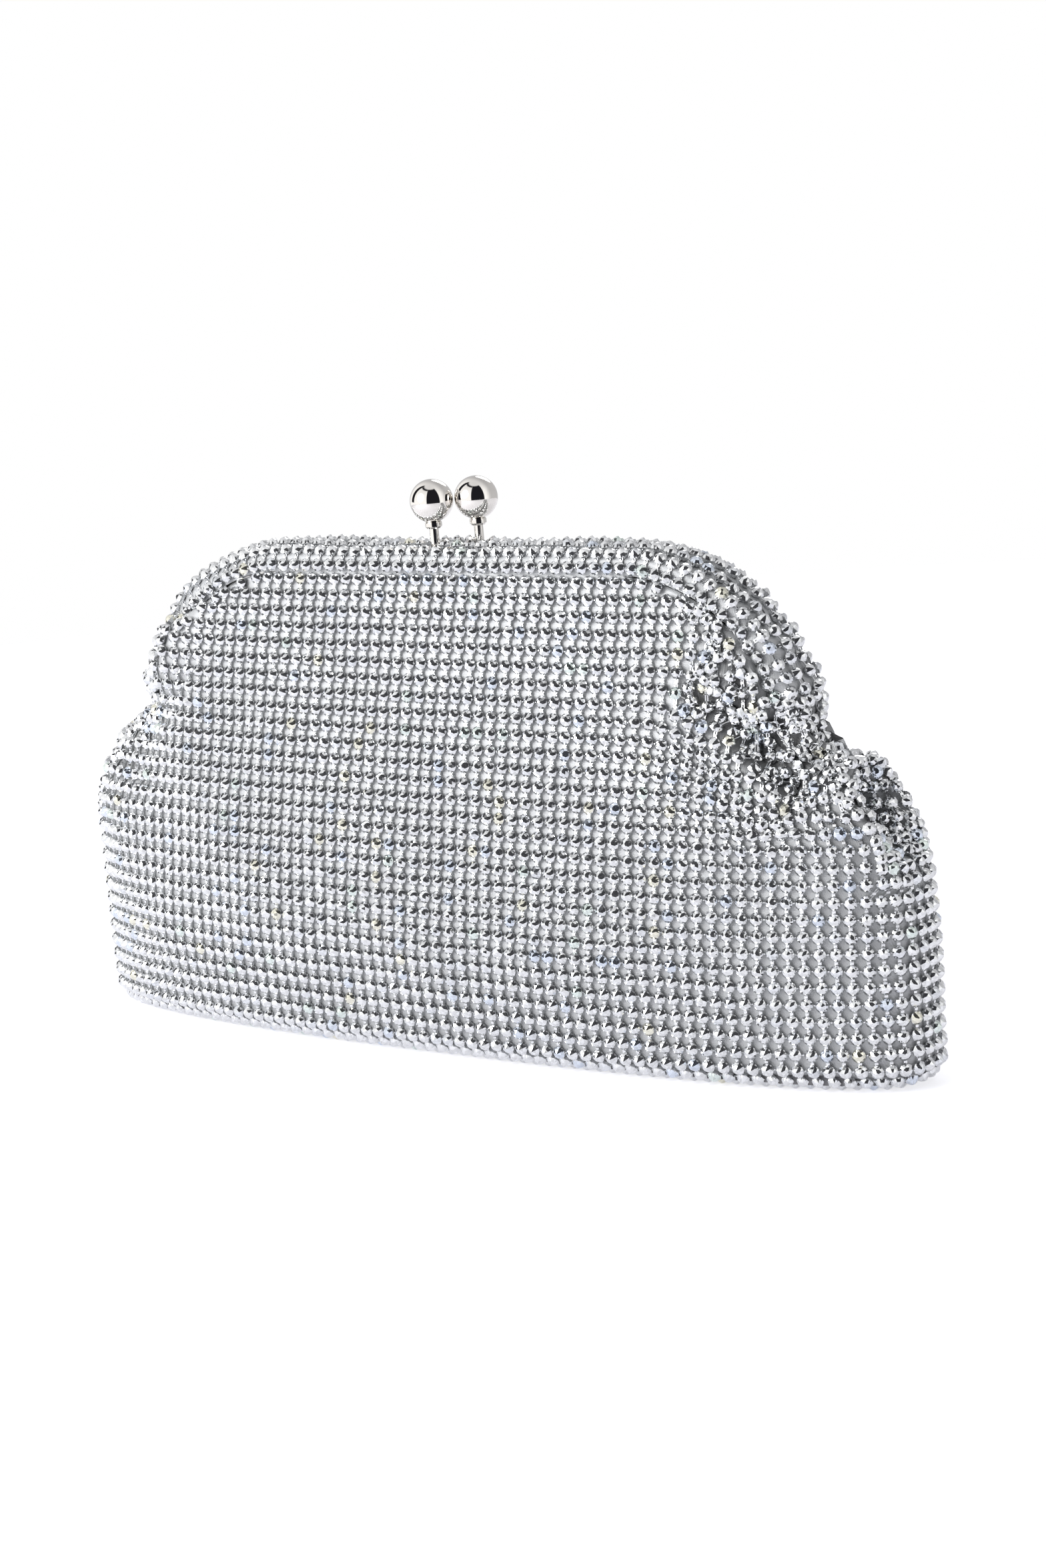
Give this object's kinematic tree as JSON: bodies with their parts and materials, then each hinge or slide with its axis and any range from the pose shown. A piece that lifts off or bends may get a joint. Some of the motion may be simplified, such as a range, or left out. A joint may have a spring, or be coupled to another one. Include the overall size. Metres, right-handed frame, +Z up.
{
  "type": "evening bag",
  "caption": "Kiss-lock evening clutch: crystal mesh over stiffened satin on a hinged arched metal frame with ball knobs, folding gussets, lining and slip pocket.",
  "frame": {"origin": "middle of the base, on the surface that the bag stands on", "axes": "+X along the width to the bag's right seen from the front, +Y to the rear, +Z up"},
  "size_m": [0.246, 0.054, 0.1422],
  "materials": {
    "crystal_mesh": "foiled faceted stones in silver settings",
    "satin_ground": "stiffened cool grey satin",
    "satin_lining": "soft satin",
    "frame_steel": "plated steel",
    "polished_nickel": "mirror polished, slightly warm",
    "paper_cord": "twisted paper",
    "base_board": "fibreboard"
  },
  "bodies": {
    "bag_body": {"front_lower_mesh": "crystal_mesh", "rear_lower_mesh": "crystal_mesh", "left_gusset_mesh": "crystal_mesh", "right_gusset_mesh": "crystal_mesh", "base_mesh": "crystal_mesh", "front_lower_ground": "satin_ground", "rear_lower_ground": "satin_ground", "left_gusset_ground": "satin_ground", "right_gusset_ground": "satin_ground", "base_board": "base_board", "lower_lining": "satin_lining", "base_lining": "satin_lining", "slip_pocket": "satin_lining", "front_bend_panel": "crystal_mesh", "rear_bend_panel": "crystal_mesh", "left_hinge_rivet": "frame_steel", "right_hinge_rivet": "frame_steel"},
    "front_half": {"front_frame": "frame_steel", "front_frame_cord": "paper_cord", "front_frame_mesh": "crystal_mesh", "front_upper_mesh": "crystal_mesh", "front_upper_ground": "satin_ground", "front_upper_lining": "satin_lining", "front_clasp_stem": "polished_nickel", "front_clasp_collar": "polished_nickel", "front_clasp_ball": "polished_nickel"},
    "rear_half": {"rear_frame": "frame_steel", "rear_frame_cord": "paper_cord", "rear_frame_mesh": "crystal_mesh", "rear_upper_mesh": "crystal_mesh", "rear_upper_ground": "satin_ground", "rear_upper_lining": "satin_lining", "rear_clasp_stem": "polished_nickel", "rear_clasp_collar": "polished_nickel", "rear_clasp_ball": "polished_nickel"}
  },
  "joints": [
    {"name": "front_frame_hinge", "type": "hinge", "parent": "bag_body", "child": "front_half", "pos_m": [0, 0, 0.084], "axis": [1, 0, 0], "range_deg": [0, 35], "deforming": ["front_bend_panel"]},
    {"name": "rear_frame_hinge", "type": "hinge", "parent": "bag_body", "child": "rear_half", "pos_m": [0, 0, 0.084], "axis": [1, 0, 0], "range_deg": [-35, 0], "deforming": ["rear_bend_panel"]}
  ],
  "couplings": [
    {"joint": "rear_frame_hinge", "follows": "front_frame_hinge", "ratio": -1}
  ]
}
